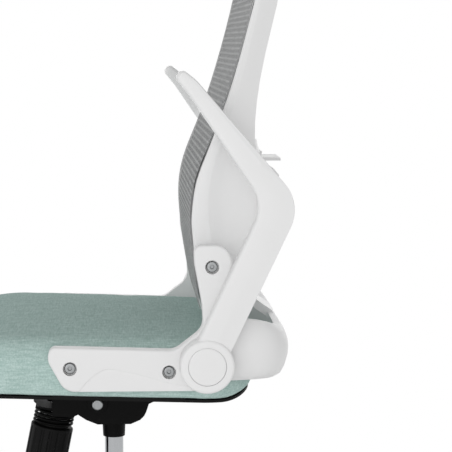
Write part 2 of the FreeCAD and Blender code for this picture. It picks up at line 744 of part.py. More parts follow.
def ridge_cut(start, end):
    # what falls away behind the ridge that runs up the middle of the arm's outer face
    first = Vector(arm_out, pivot_y + start[0], pivot_z + start[1])
    along = Vector(arm_out, pivot_y + end[0], pivot_z + end[1]) - first
    reach = 60
    behind = Vector(0, along.z, -along.y).normalize() * reach
    fall = Vector(-reach * math.tan(math.radians(size("arm_ridge_angle"))), 0, 0)
    above = Vector(20, 0, 0)
    first = first - along
    outline = [first, first + behind + fall, first + behind + above, first + above, first]
    return Part.Face(Part.makePolygon(outline)).extrude(along * 3)


def arm_solid():
    # seen from the side, from the pivot: the leg, the elbow and the armrest that narrows to its tip
    corners = [(-34, -10), (18, -10), (128, 220), (-14, 386), (-33, 401), (-42, 389), (-22, 364), (76, 220)]
    arm = arm_outline(corners, [6, 6, 55, 60, 8, 8, 60, 50], arm_in, arm_out)
    side = [edge for edge in arm.Edges if edge.BoundBox.XLength < 0.01]
    arm = arm.makeFillet(5, side)
    arm = arm.cut(ridge_cut((-8, -10), (102, 220))).cut(ridge_cut((102, 220), (-37, 395)))
    rest_in = arm_out - size("armrest_breadth")
    rest_corners = [(84, 268), (-14, 386), (-33, 401), (-42, 389), (-22, 364), (50, 258)]
    rest = arm_outline(rest_corners, [14, 60, 8, 8, 60, 14], rest_in, arm_out - 1)
    rest = rest.makeFillet(5, [edge for edge in rest.Edges if edge.BoundBox.XLength < 0.01])
    hub = across_x(arm_in, hub_out, pivot_y, pivot_z, size("arm_hub_radius"))
    hub = hub.makeFillet(4, [edge for edge in hub.Edges if edge.BoundBox.XMin > hub_out - 0.1])
    arm = joined(arm, rest, hub)
    arm = arm.cut(across_x(nut_floor, hub_out + 1, pivot_y, pivot_z, size("cap_radius") + size("gap") / 2))
    return arm.cut(across_x(arm_in - 1, hub_out, pivot_y, pivot_z, pivot_bore))


def add_arms():
    arm = arm_solid()
    pin = across_x(bracket_inner + size("pivot_head_height") + size("gap"), cap_floor - size("gap"),
                   pivot_y, pivot_z, size("pivot_pin_radius"))
    head = across_x(bracket_inner + size("gap"), bracket_inner + size("gap") + size("pivot_head_height"),
                    pivot_y, pivot_z, size("pivot_head_radius"))
    nut_start = nut_floor + size("gap") / 2
    nut_end = nut_start + size("pivot_nut_height")
    nut = hexagon_hole(nut_start, nut_end, pivot_y, pivot_z, size("pivot_nut_radius"))
    nut = nut.cut(across_x(nut_floor, hub_out, pivot_y, pivot_z, size("pivot_pin_radius")))
    washer = across_x(washer_in, washer_in + size("friction_washer_height"), pivot_y, pivot_z,
                      size("friction_washer_radius"))
    washer = washer.cut(across_x(washer_in, arm_in, pivot_y, pivot_z, pivot_bore))
    cap = across_x(cap_floor, hub_out, pivot_y, pivot_z, size("cap_radius"))
    cap = cap.makeFillet(2, [edge for edge in cap.Edges if edge.BoundBox.XMin > hub_out - 0.1])
    for name, shape in (("arm", arm), ("pivot_cap", cap)):
        freeform(name + "_left", shape)
        freeform(name + "_right", mirrored(shape))
    pairs = {"pivot_pins": joined(pin, head), "pivot_nuts": nut, "friction_washers": washer}
    for name, shape in pairs.items():
        freeform(name, Part.makeCompound([shape, mirrored(shape)]))


# Back: a moulded frame with a lumbar curve, a woven mesh in its groove, and a spine with a rear yoke.
# Front line of the frame from the side: Y, height above the pan, depth of the rail, depth of its front lip.
rail_line = [(127, 115, 45, 30), (116, 180, 66, 30), (110, 235, 88, 27), (109, 265, 96, 24),
             (116, 312, 94, 20), (137, 367, 60, 15), (166, 449, 38, 12), (194, 551, 33, 9)]
back_top = size("back_top")
back_half = size("back_half_width")
rail_width = size("back_rail_width")
corner = size("back_corner")
top_y = 194 + (back_top - 551) * 0.22
rail_inner = back_half - rail_width


def frame_section(x, z, turn, y, depth, lip):
    # a slanted rail section: outward runs away from the middle of the back, Y runs to the rear
    outward = Vector(math.cos(math.radians(turn)), 0, math.sin(math.radians(turn)))
    edge = Vector(x, y, pan_low_z + z)
    blade = depth - lip
    cove = max(0, depth - 40) / 10
    points = [(-rail_width, 0), (-2, 0), (0, 2), (0, lip - 2), (-1, lip), (-4 - cove, lip + 0.2 * blade),
              (-8 - cove, lip + 0.45 * blade), (-13 - 0.5 * cove, lip + 0.75 * blade),
              (4 - rail_width, depth), (-rail_width, depth - 3)]
    corners = [edge + outward * out + Vector(0, back, 0) for out, back in points]
    return Part.makePolygon(corners + corners[:1])


def smoothed(rows, steps):
    # rows of numbers with a soft curve through them (Catmull-Rom)
    ends = [rows[0]] + rows + [rows[-1]]
    fine = []
    for here in range(1, len(ends) - 2):
        for step in range(steps):
            share = step / steps
            row = []
            for a, b, c, d in zip(*ends[here - 1:here + 3]):
                row.append(b + 0.5 * share * (c - a + share * (2 * a - 5 * b + 4 * c - d
                                                               + share * (3 * (b - c) + d - a))))
            fine.append(tuple(row))
    return fine + [rows[-1]]


def frame_half():
    sections = []
    for y, z, depth, lip in smoothed(rail_line, 3):
        sections.append(frame_section(back_half, z, 0, y, depth, lip))
    corner_low = back_top - corner
    for turn in (0, 22.5, 45, 67.5, 90):
        x = back_half - corner + corner * math.cos(math.radians(turn))
        z = corner_low + corner * math.sin(math.radians(turn))
        y = top_y + (z - back_top) * 0.22
        sections.append(frame_section(x, z, turn, y, 31, 9))
    sections.append(frame_section(0, back_top, 90, top_y, 31, 9))
    return Part.makeLoft(sections, True, True)


def mesh_line(offset):
    points = [Vector(0, y + offset, pan_low_z + z) for y, z, depth, lip in rail_line]
    points.append(Vector(0, top_y + (0.5 * -corner) * 0.22 + offset, pan_low_z + back_top - 0.5 * corner))
    points.append(Vector(0, top_y + offset, pan_low_z + back_top))
    curve = Part.BSplineCurve()
    curve.interpolate(points)
    return curve.toShape(), points[0], points[-1]


def mesh_sheet(margin):
    # the woven sheet, or with a margin the groove that holds it
    front = size("mesh_setback") - margin
    rear = size("mesh_setback") + size("mesh_thickness") + margin
    front_edge, front_low, front_high = mesh_line(front)
    rear_edge, rear_low, rear_high = mesh_line(rear)
    edges = [front_edge, Part.LineSegment(front_high, rear_high).toShape(), rear_edge,
             Part.LineSegment(rear_low, front_low).toShape()]
    half = rail_inner + size("mesh_tuck") + margin
    band = Part.Face(Part.Wire(Part.__sortEdges__(edges))).extrude(Vector(2 * half, 0, 0))
    band.translate(Vector(-half, 0, 0))
    low = pan_low_z + rail_line[0][1] + 6 - margin
    high = pan_low_z + back_top - rail_width + size("mesh_tuck") + margin
    corners = [Vector(-half, 0, low), Vector(half, 0, low), Vector(half, 0, high), Vector(-half, 0, high)]
    outline = rounded_wire(corners, corner - rail_width + size("mesh_tuck"))
    window = Part.Face(outline).extrude(Vector(0, 400, 0))
    return band.common(window)


def add_back_frame():
    half = frame_half()
    y, z, depth, lip = rail_line[0]
    bar_low = pan_low_z + z - 4
    bar = box(-rail_inner - 4, rail_inner + 4, y + 1, y + 26, bar_low, bar_low + 26)
    bar = bar.makeFillet(4, [edge for edge in bar.Edges if edge.BoundBox.XLength > 100])
    bosses = []
    for side in (-1, 1):
        bosses.append(across_x(side * (rail_inner + 4), side * bracket_inner, *back_bolt_spot, 14))
    frame = joined(half, mirrored(half), bar, *bosses)
    frame = frame.cut(mesh_sheet(size("fit")))
    holes = bolt_holes([back_bolt_spot], size("bolt_radius") + size("fit"), recess_floor - bolt_length - 1,
                       bracket_outer)
    freeform("back_frame", frame.cut(holes))
    freeform("back_mesh", mesh_sheet(0))


# Rear line of the spine: Y and height above the pan, from the yoke up to its rounded top.
spine_rear = [(247, 88), (235, 104), (216, 117), (206, 130), (204, 197), (200, 257), (221, 340)]
slide_lean = (221 - 200) / (340 - 257)


def spine_solid():
    thick = size("spine_thickness")
    half = size("spine_half_width")
    front = [(234, 84), (227, 95), (211, 106), (206 - thick, 122), (204 - thick, 197), (200 - thick, 257),
             (221 - thick, 340)]
    outline = [Vector(-half, y, pan_low_z + z) for y, z in spine_rear + front[::-1]]
    spine = Part.Face(Part.makePolygon(outline + outline[:1])).extrude(Vector(2 * half, 0, 0))
    slot = size("lumbar_slot") / 2
    middle = pan_low_z + size("lumbar_middle")
    reach = 12 + size("lumbar_travel")
    return spine.cut(box(-slot, slot, 150, 260, middle - reach, middle + reach))


def wing_section(x, low_y, low, high_y, high):
    thick = 6
    corners = [Vector(x, low_y, pan_low_z + low), Vector(x, high_y, pan_low_z + high),
               Vector(x, high_y + thick, pan_low_z + high), Vector(x, low_y + thick, pan_low_z + low)]
    return Part.makePolygon(corners + corners[:1])


def yoke_section(x, y, lean, low, high, bulge):
    # a wall section seen along the yoke: outward is square to its path in plan
    outward = Vector(math.cos(math.radians(lean)), math.sin(math.radians(lean)), 0)
    wall = [(-20, 0), (-11, 0.07), (-5, 0.22), (-1, 0.4), (0, 0.55), (-1, 0.7), (-5, 0.86), (-12, 0.98),
            (-17, 1), (-22, 1), (-26, 0.5), (-26, 0)]
    corners = []
    for out, share in wall:
        corners.append(Vector(x, y, pan_low_z + low + (high - low) * share) + outward * (out * bulge))
    return Part.makePolygon(corners + corners[:1])


def add_back_spine():
    inner = size("spine_half_width") - 6
    # from the rail to the spine: X, then Y and height of the lower and the upper edge
    wing_path = [(rail_inner, 176, 205, 184, 372), (150, 183, 222, 198, 364), (95, 190, 240, 206, 347),
                 (inner, 193, 246, 212, 338)]
    wing = Part.makeLoft([wing_section(*station) for station in wing_path], True, True)
    # from the bracket round to the middle: X, Y, lean in plan, lower edge, upper edge and share of the bulge
    yoke_path = [(262, 153, 0, 37, 122, 0.55), (259, 190, 12, 37, 122, 0.7), (246, 221, 36, 36, 116, 0.9),
                 (215, 240, 62, 33, 108, 1), (165, 249, 82, 28, 103, 1), (90, 251, 90, 26, 101, 1),
                 (0, 251, 90, 25, 100, 1)]
    yoke = Part.makeLoft([yoke_section(*station) for station in smoothed(yoke_path, 2)], True, True)
    freeform("back_spine", joined(spine_solid(), wing, mirrored(wing), yoke, mirrored(yoke)))


def add_lumbar():
    half = size("lumbar_width") / 2
    middle = size("lumbar_middle")
    low = middle - size("lumbar_height") / 2
    high = middle + size("lumbar_height") / 2
    thick = size("lumbar_thickness")
    front_low = size("lumbar_front") + (low - middle) * slide_lean
    front_high = size("lumbar_front") + (high - middle) * slide_lean
    outline = [(front_low, low), (front_high, high), (front_high + thick, high), (front_low + thick, low)]
    corners = [Vector(-half, y, pan_low_z + z) for y, z in outline]
    pad = Part.Face(Part.makePolygon(corners + corners[:1])).extrude(Vector(2 * half, 0, 0))
    pad = pad.makeFillet(5, pad.Edges)
    freeform("lumbar_pad", pad)
    stem_half = size("lumbar_slot") / 2 - 1
    grip_half = size("grip_width") / 2

    def rear(z):
        return 200 + (z - 257) * slide_lean + size("gap")

    def slab(outline, half_width):
        points = [Vector(-half_width, y, pan_low_z + z) for y, z in outline]
        return Part.Face(Part.makePolygon(points + points[:1])).extrude(Vector(2 * half_width, 0, 0))
    plate = slab([(rear(283), 283), (rear(331), 331), (rear(331) + 5, 331), (rear(283) + 5, 283)], grip_half)
    lip = slab([(rear(331) + 3, 331), (249, 330), (249, 326), (rear(326) + 3, 326)], grip_half)
    rib = slab([(rear(318) + 3, 318), (239, 314), (247, 304), (246, 299), (rear(304) + 3, 304)], grip_half)
    stem_low = middle - 11
    stem_high = middle + 11
    stem_front = size("lumbar_front") + thick
    stem = slab([(stem_front - 11 * slide_lean, stem_low), (stem_front + 11 * slide_lean, stem_high),
                 (rear(stem_high) + 2, stem_high), (rear(stem_low) + 2, stem_low)], stem_half)
    freeform("lumbar_slider", joined(plate, lip, rib, stem))


add_casters()
add_star_base()
add_gas_spring()
add_tilt_housing()
add_tilt_axle()
add_tension_spring()
add_tension_knob()
add_height_lever()
add_seat_plate()
add_plate_screws()
add_seat_pan()
add_seat_cushion()
add_brackets()
add_arms()
add_back_frame()
add_back_spine()
add_lumbar()
doc.recompute()

# Every object has to be sound before anything is written.
for thing in doc.Objects:
    if "Invalid" in thing.State or "Error" in thing.State:
        raise RuntimeError("%s failed: %s" % (thing.Label, thing.State))
for thing in subparts:
    if thing.Shape.isNull() or not thing.Shape.isValid():
        raise RuntimeError("%s has no sound shape" % thing.Label)
os.makedirs("parts", exist_ok=True)
for thing in subparts:
    thing.Shape.exportStep("parts/%s.step" % thing.Label)
print("wrote %d sub-parts" % len(subparts))
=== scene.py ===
import json
import math

import bmesh
import bpy
from mathutils import Matrix, Vector


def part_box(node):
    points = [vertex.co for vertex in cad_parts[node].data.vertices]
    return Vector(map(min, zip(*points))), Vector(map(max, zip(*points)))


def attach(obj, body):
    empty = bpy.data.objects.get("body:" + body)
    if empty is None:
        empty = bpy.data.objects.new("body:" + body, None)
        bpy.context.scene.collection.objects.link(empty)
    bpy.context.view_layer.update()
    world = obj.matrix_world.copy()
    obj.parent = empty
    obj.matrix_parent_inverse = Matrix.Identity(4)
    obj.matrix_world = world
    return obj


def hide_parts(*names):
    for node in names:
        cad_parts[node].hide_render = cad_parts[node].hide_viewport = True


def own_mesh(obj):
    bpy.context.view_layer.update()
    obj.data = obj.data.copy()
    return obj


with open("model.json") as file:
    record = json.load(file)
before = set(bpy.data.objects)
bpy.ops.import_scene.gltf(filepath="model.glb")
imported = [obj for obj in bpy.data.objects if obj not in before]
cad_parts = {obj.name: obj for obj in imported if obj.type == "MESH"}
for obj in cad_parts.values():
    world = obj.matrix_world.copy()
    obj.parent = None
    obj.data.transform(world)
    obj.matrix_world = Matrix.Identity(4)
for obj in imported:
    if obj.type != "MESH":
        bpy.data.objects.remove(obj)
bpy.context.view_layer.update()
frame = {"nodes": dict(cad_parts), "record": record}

record = frame["record"]
nodes = frame["nodes"]
bodyOf = {node: body for body, members in record["behaviour"]["bodies"].items() for node in members}
slotOf = {part["node"]: part["material_slot"] for part in record["subparts"]}
print("frame loaded:", len(nodes), "nodes")


def linear(hexColour):
    # sRGB hex to the linear colour that shaders take
    channels = [int(hexColour[i:i + 2], 16) / 255 for i in (1, 3, 5)]
    return [c / 12.92 if c <= 0.04045 else ((c + 0.055) / 1.055) ** 2.4 for c in channels] + [1.0]


def add(material, kind, settings=None, inputs=None, links=None):
    # one node with its settings, its input values and its incoming links
    node = material.node_tree.nodes.new(kind)
    for name, value in (settings or {}).items():
        setattr(node, name, value)
    for name, value in (inputs or {}).items():
        node.inputs[name].default_value = value
    for name, socket in (links or {}).items():
        material.node_tree.links.new(socket, node.inputs[name])
    return node


def perMetre(millimetres):
    # a texture scale that repeats once in so many millimetres
    return 1000 / millimetres


def newMaterial(name):
    material = bpy.data.materials.new(name)
    material.use_nodes = True
    material.node_tree.nodes.clear()
    return material


def finishMaterial(material, shader):
    output = add(material, "ShaderNodeOutputMaterial")
    material.node_tree.links.new(shader.outputs[0], output.inputs["Surface"])
    return material


def mouldedPlastic(name, colour, dark, roughness, grain, height, specular=0.5):
    # injection moulding: an even colour, a fine spark-eroded grain and a soft satin highlight
    material = newMaterial(name)
    place = add(material, "ShaderNodeTexCoord").outputs["Object"]
    cloud = add(material, "ShaderNodeTexNoise", None, {"Scale": perMetre(60), "Detail": 3.0}, {"Vector": place})
    tint = add(material, "ShaderNodeMix", {"data_type": "RGBA"}, {"A": linear(colour), "B": linear(dark)},
               {"Factor": cloud.outputs["Fac"]})
    pores = add(material, "ShaderNodeTexNoise", None, {"Scale": perMetre(grain), "Detail": 2.0},
                {"Vector": place})
    worn = add(material, "ShaderNodeMapRange", None, {"To Min": roughness - 0.06, "To Max": roughness + 0.06},
               {"Value": pores.outputs["Fac"]})
    bump = add(material, "ShaderNodeBump", None, {"Strength": 0.25, "Distance": height / 1000},
               {"Height": pores.outputs["Fac"]})
    shader = add(material, "ShaderNodeBsdfPrincipled", None,
                 {"IOR": 1.5, "Specular IOR Level": specular},
                 {"Base Color": tint.outputs["Result"], "Roughness": worn.outputs["Result"],
                  "Normal": bump.outputs["Normal"]})
    return finishMaterial(material, shader)


def powderCoatedSteel(name, colour, dark):
    # baked powder on sheet steel: near black with a fine orange-peel skin
    material = newMaterial(name)
    place = add(material, "ShaderNodeTexCoord").outputs["Object"]
    peel = add(material, "ShaderNodeTexNoise", None, {"Scale": perMetre(1.6), "Detail": 2.0}, {"Vector": place})
    cloud = add(material, "ShaderNodeTexNoise", None, {"Scale": perMetre(40), "Detail": 4.0}, {"Vector": place})
    tint = add(material, "ShaderNodeMix", {"data_type": "RGBA"}, {"A": linear(colour), "B": linear(dark)},
               {"Factor": cloud.outputs["Fac"]})
    rough = add(material, "ShaderNodeMapRange", None, {"To Min": 0.36, "To Max": 0.5},
                {"Value": peel.outputs["Fac"]})
    bump = add(material, "ShaderNodeBump", None, {"Strength": 0.3, "Distance": 0.0002},
               {"Height": peel.outputs["Fac"]})
    shader = add(material, "ShaderNodeBsdfPrincipled", None, {"IOR": 1.5, "Specular IOR Level": 0.07},
                 {"Base Color": tint.outputs["Result"], "Roughness": rough.outputs["Result"],
                  "Normal": bump.outputs["Normal"]})
    return finishMaterial(material, shader)


def platedSteel(name, colour, dark, low, high, scratch):
    # plated steel: bright metal with faint polishing marks
    material = newMaterial(name)
    place = add(material, "ShaderNodeTexCoord").outputs["Object"]
    turned = add(material, "ShaderNodeMapping", None, {"Scale": (1.0, 1.0, 0.08)}, {"Vector": place})
    marks = add(material, "ShaderNodeTexNoise", None, {"Scale": perMetre(scratch), "Detail": 5.0},
                {"Vector": turned.outputs["Vector"]})
    tint = add(material, "ShaderNodeMix", {"data_type": "RGBA"}, {"A": linear(colour), "B": linear(dark)},
               {"Factor": marks.outputs["Fac"]})
    rough = add(material, "ShaderNodeMapRange", None, {"To Min": low, "To Max": high},
                {"Value": marks.outputs["Fac"]})
    shader = add(material, "ShaderNodeBsdfPrincipled", None, {"Metallic": 1.0},
                 {"Base Color": tint.outputs["Result"], "Roughness": rough.outputs["Result"]})
    return finishMaterial(material, shader)


def wovenPolyester(name, light, dark, thread):
    # melange upholstery cloth: thick and thin threads crossing at right angles, matt with a slight bloom.
    # The real thread is under 1 mm, so it is drawn a little coarser to show.
    material = newMaterial(name)
    place = add(material, "ShaderNodeTexCoord").outputs["Object"]
    lean = add(material, "ShaderNodeMapping", None, {"Rotation": (0.0, 0.0, math.radians(2))}, {"Vector": place})
    warp = add(material, "ShaderNodeTexWave", {"bands_direction": "X"},
               {"Scale": perMetre(thread) / 6.4, "Distortion": 1.2, "Detail": 2.0, "Detail Scale": 1.5},
               {"Vector": lean.outputs["Vector"]})
    weft = add(material, "ShaderNodeTexWave", {"bands_direction": "Y"},
               {"Scale": perMetre(thread) / 6.4, "Distortion": 1.2, "Detail": 2.0, "Detail Scale": 1.5},
               {"Vector": lean.outputs["Vector"]})
    rise = add(material, "ShaderNodeTexWave", {"bands_direction": "Z"},
               {"Scale": perMetre(thread) / 6.4, "Distortion": 1.2, "Detail": 2.0, "Detail Scale": 1.5},
               {"Vector": lean.outputs["Vector"]})
    cross = add(material, "ShaderNodeMath", {"operation": "MAXIMUM"}, None,
                {0: warp.outputs["Fac"], 1: weft.outputs["Fac"]})
    threads = add(material, "ShaderNodeMath", {"operation": "MAXIMUM"}, None,
                  {0: cross.outputs["Value"], 1: rise.outputs["Fac"]})
    drawn = add(material, "ShaderNodeMapping", None, {"Scale": (1.0, 0.12, 1.0)}, {"Vector": place})
    slub = add(material, "ShaderNodeTexNoise", None, {"Scale": perMetre(2.2), "Detail": 3.0},
               {"Vector": drawn.outputs["Vector"]})
    wide = add(material, "ShaderNodeMapping", None, {"Scale": (0.12, 1.0, 1.0)}, {"Vector": place})
    fleck = add(material, "ShaderNodeTexNoise", None, {"Scale": perMetre(2.2), "Detail": 3.0},
                {"Vector": wide.outputs["Vector"]})
    melange = add(material, "ShaderNodeMath", {"operation": "MULTIPLY"}, None,
                  {0: slub.outputs["Fac"], 1: fleck.outputs["Fac"]})
    spread = add(material, "ShaderNodeMapRange", None, {"From Min": 0.12, "From Max": 0.40},
                 {"Value": melange.outputs["Value"]})
    tint = add(material, "ShaderNodeMix", {"data_type": "RGBA"}, {"A": linear(dark), "B": linear(light)},
               {"Factor": spread.outputs["Result"]})
    bump = add(material, "ShaderNodeBump", None, {"Strength": 0.45, "Distance": 0.0005},
               {"Height": threads.outputs["Value"]})
    shader = add(material, "ShaderNodeBsdfPrincipled", None,
                 {"Roughness": 0.92, "IOR": 1.45, "Specular IOR Level": 0.05, "Sheen Weight": 0.01,
                  "Sheen Roughness": 0.5},
                 {"Base Color": tint.outputs["Result"], "Normal": bump.outputs["Normal"]})
    return finishMaterial(material, shader)


def knittedMesh(name, light, dark, hemColour, rib, cell, halfWidth, hem):
    # stretched monofilament knit: ribs across and fine open cells between them, with a dense hem at its edges.
    # The real cell is about 1.5 mm, so it is drawn coarser to show.
    material = newMaterial(name)
    place = add(material, "ShaderNodeTexCoord").outputs["UV"]
    rows = add(material, "ShaderNodeTexWave", {"bands_direction": "Y"},
               {"Scale": perMetre(rib) / 6.4, "Distortion": 0.6, "Detail": 1.0, "Detail Scale": 3.0},
               {"Vector": place})
    columns = add(material, "ShaderNodeTexWave", {"bands_direction": "X"},
                  {"Scale": perMetre(cell) / 6.4, "Distortion": 0.0}, {"Vector": place})
    yarn = add(material, "ShaderNodeMath", {"operation": "MAXIMUM"}, None,
               {0: rows.outputs["Fac"], 1: columns.outputs["Fac"]})
    cloud = add(material, "ShaderNodeTexNoise", None, {"Scale": perMetre(9), "Detail": 3.0}, {"Vector": place})
    shade = add(material, "ShaderNodeMath", {"operation": "MULTIPLY"}, None,
                {0: yarn.outputs["Value"], 1: cloud.outputs["Fac"]})
    spread = add(material, "ShaderNodeMapRange", None, {"From Min": 0.15, "From Max": 0.65},
                 {"Value": shade.outputs["Value"]})
    tint = add(material, "ShaderNodeMix", {"data_type": "RGBA"}, {"A": linear(dark), "B": linear(light)},
               {"Factor": spread.outputs["Result"]})
    across = add(material, "ShaderNodeSeparateXYZ", None, None, {"Vector": place})
    side = add(material, "ShaderNodeMath", {"operation": "ABSOLUTE"}, None, {0: across.outputs["X"]})
    edge = add(material, "ShaderNodeMath", {"operation": "GREATER_THAN"}, {1: halfWidth - hem},
               {0: side.outputs["Value"]})
    hemmed = add(material, "ShaderNodeMix", {"data_type": "RGBA"}, {"B": linear(hemColour)},
                 {"Factor": edge.outputs["Value"], "A": tint.outputs["Result"]})
    cover = add(material, "ShaderNodeMapRange", None, {"To Min": 0.62, "To Max": 1.0},
                {"Value": yarn.outputs["Value"]})
    hole = add(material, "ShaderNodeMath", {"operation": "MAXIMUM"}, None,
               {0: cover.outputs["Result"], 1: edge.outputs["Value"]})
    bump = add(material, "ShaderNodeBump", None, {"Strength": 0.5, "Distance": 0.0006},
               {"Height": yarn.outputs["Value"]})
    shader = add(material, "ShaderNodeBsdfPrincipled", None,
                 {"Roughness": 0.8, "Specular IOR Level": 0.3, "Sheen Weight": 0.1},
                 {"Base Color": hemmed.outputs["Result"], "Alpha": hole.outputs["Value"],
                  "Normal": bump.outputs["Normal"]})
    return finishMaterial(material, shader)


whiteNylon = mouldedPlastic("glass filled nylon white", "#ECECEC", "#E8E8E8", 0.45, 0.9, 0.08)
whitePolypropylene = mouldedPlastic("polypropylene white", "#EDEDED", "#E9E9E9", 0.42, 0.9, 0.07)
blackPolypropylene = mouldedPlastic("polypropylene black", "#0D0D0D", "#080808", 0.5, 1.1, 0.12, 0.12)
blackNylon = mouldedPlastic("caster nylon black", "#1E1E1F", "#151515", 0.4, 1.4, 0.08)
greyAcetal = mouldedPlastic("acetal grey", "#9A9C9C", "#8E9090", 0.45, 0.9, 0.08)
sealRubber = mouldedPlastic("nitrile rubber", "#1B1B1B", "#121212", 0.75, 0.8, 0.1, 0.3)
blackSteel = powderCoatedSteel("powder coated steel black", "#0B0B0B", "#060606")
chromedSteel = platedSteel("chromed steel", "#B4B6B8", "#A6A8AA", 0.10, 0.18, 3.0)
zincSteel = platedSteel("zinc plated steel", "#9A9C9D", "#868889", 0.28, 0.42, 1.5)
seatCloth = wovenPolyester("woven polyester mint", "#C4D9D4", "#A2BCB6", 1.6)
backKnit = knittedMesh("knitted polyester grey", "#BABBBB", "#646566", "#5A5B5C", 3.8, 2.2, 0.226, 0.007)

finishOf = {"white_nylon": whiteNylon, "white_moulding": whitePolypropylene, "seat_fabric": seatCloth,
            "back_mesh": backKnit, "black_plastic": blackPolypropylene, "black_steel": blackSteel,
            "chrome": chromedSteel, "zinc_steel": zincSteel, "grey_plastic": greyAcetal,
            "seal_rubber": sealRubber, "wheel_nylon": blackNylon}
print("materials made:", len(finishOf))


def pieceFrom(bm, name, body, slotName, stands=()):
    # a finished piece at the origin, riding on its body
    mesh = bpy.data.meshes.new(name)
    bm.to_mesh(mesh)
    bm.free()
    piece = bpy.data.objects.new(name, mesh)
    bpy.context.scene.collection.objects.link(piece)
    mesh.materials.append(finishOf[slotName])
    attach(piece, body)
    if stands:
        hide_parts(*stands)
    return piece


def softenEdges(piece, width, segments=2, degrees=38):
    bevel = piece.modifiers.new("softEdge", "BEVEL")
    bevel.width = width
    bevel.segments = segments
    bevel.profile = 0.5
    bevel.limit_method = "ANGLE"
    bevel.angle_limit = math.radians(degrees)
    bevel.use_clamp_overlap = True
    return piece


def mergedCopy(nodeName):
    # a node's triangles with their doubles merged
    bm = bmesh.new()
    bm.from_mesh(nodes[nodeName].data)
    bmesh.ops.remove_doubles(bm, verts=bm.verts, dist=0.00002)
    bmesh.ops.dissolve_degenerate(bm, edges=bm.edges, dist=0.000005)
    return bm


def smoothUnder(bm, degrees):
    limit = math.radians(degrees)
    for face in bm.faces:
        face.smooth = True
    for edge in bm.edges:
        edge.smooth = len(edge.link_faces) == 2 and edge.calc_face_angle(0.0) < limit


seatPan = {"curlFrom": 0.148, "curlLength": 0.054, "curlRise": 0.034, "cuts": 6}


def rearCurl(y):
    # how far the pan and the underside of the cushion have risen at the rear, along a quarter of an ellipse
    along = max(0.0, min(1.0, (y - seatPan["curlFrom"]) / seatPan["curlLength"]))
    return seatPan["curlRise"] * (1 - math.sqrt(1 - along ** 2))


def shapePan(bm):
    # the rear edge of the pan curls up
    bmesh.ops.triangulate(bm, faces=bm.faces)
    for cut in range(seatPan["cuts"]):
        place = seatPan["curlFrom"] + seatPan["curlLength"] * (cut + 0.5) / seatPan["cuts"]
        everything = list(bm.verts) + list(bm.edges) + list(bm.faces)
        bmesh.ops.bisect_plane(bm, geom=everything, plane_co=(0, place, 0), plane_no=(0, 1, 0))
    for vertex in bm.verts:
        vertex.co.z += rearCurl(vertex.co.y)


def dressNode(nodeName, width, degrees=32):
    # the node's own shape with softened edges and smooth curved faces
    bm = mergedCopy(nodeName)
    if nodeName == "seat_pan":
        shapePan(bm)
    bmesh.ops.dissolve_limit(bm, angle_limit=math.radians(0.4), verts=bm.verts, edges=bm.edges)
    smoothUnder(bm, degrees)
    piece = pieceFrom(bm, nodeName + ".dressed", bodyOf[nodeName], slotOf[nodeName], [nodeName])
    if width:
        softenEdges(piece, width)
    return piece


for node in nodes:
    nodes[node].data.materials.clear()
    nodes[node].data.materials.append(finishOf[slotOf[node]])
print("nodes given finishes")

camera = {"position": (2.605, 0.004, 0.862), "pitch": 6.0, "yaw": 3.66, "pixels": 452, "focal": 1740, "sensor": 36}


def addCamera():
    data = bpy.data.cameras.new("photoCamera")
    data.sensor_width = camera["sensor"]
    data.lens = camera["focal"] * camera["sensor"] / camera["pixels"]
    viewer = bpy.data.objects.new("photoCamera", data)
    pitch = math.radians(camera["pitch"])
    yaw = math.radians(camera["yaw"])
    ahead = Vector((-math.cos(pitch) * math.cos(yaw), math.cos(pitch) * math.sin(yaw), -math.sin(pitch)))
    viewer.location = camera["position"]
    viewer.rotation_euler = ahead.to_track_quat("-Z", "Y").to_euler()
    bpy.context.scene.collection.objects.link(viewer)
    bpy.context.scene.camera = viewer


light = {"horizon": 0.75, "zenith": 0.36, "key": 32, "keyPlace": (3.2, -0.9, 1.2), "keySize": 2.6,
         "fill": 18, "fillPlace": (-3.0, 0.8, 1.4), "fillSize": 2.6, "aim": (0.0, 0.0, 0.6)}


def addLamp(name, power, place, size):
    data = bpy.data.lights.new(name, "AREA")
    data.energy = power
    data.size = size
    lamp = bpy.data.objects.new(name, data)
    lamp.location = place
    lamp.rotation_euler = (Vector(light["aim"]) - Vector(place)).to_track_quat("-Z", "Y").to_euler()
    bpy.context.scene.collection.objects.link(lamp)


def addWorld():
    # soft even daylight, with a white backdrop for the camera and for reflections
    world = bpy.data.worlds.new("studio")
    world.use_nodes = True
    world.node_tree.nodes.clear()
    rays = add(world, "ShaderNodeLightPath")
    seen = add(world, "ShaderNodeMath", {"operation": "MAXIMUM"}, None,
               {0: rays.outputs["Is Camera Ray"], 1: rays.outputs["Is Glossy Ray"]})
    clear = add(world, "ShaderNodeMath", {"operation": "MAXIMUM"}, None,
                {0: seen.outputs["Value"], 1: rays.outputs["Is Transmission Ray"]})
    up = add(world, "ShaderNodeSeparateXYZ", None, None,
             {"Vector": add(world, "ShaderNodeTexCoord").outputs["Generated"]})
    level = add(world, "ShaderNodeMapRange", {"interpolation_type": "SMOOTHSTEP"},
                {"From Min": 0.1, "From Max": 0.9, "To Min": light["horizon"], "To Max": light["zenith"]},
                {"Value": up.outputs["Z"]})
    ambient = add(world, "ShaderNodeBackground", None, {"Color": (1, 1, 1, 1)},
                  {"Strength": level.outputs["Result"]})
    backdrop = add(world, "ShaderNodeBackground", None, {"Color": (1, 1, 1, 1), "Strength": 1.0})
    mixed = add(world, "ShaderNodeMixShader", None, None,
                {0: clear.outputs["Value"], 1: ambient.outputs[0], 2: backdrop.outputs[0]})
    output = add(world, "ShaderNodeOutputWorld")
    world.node_tree.links.new(mixed.outputs[0], output.inputs["Surface"])
    bpy.context.scene.world = world


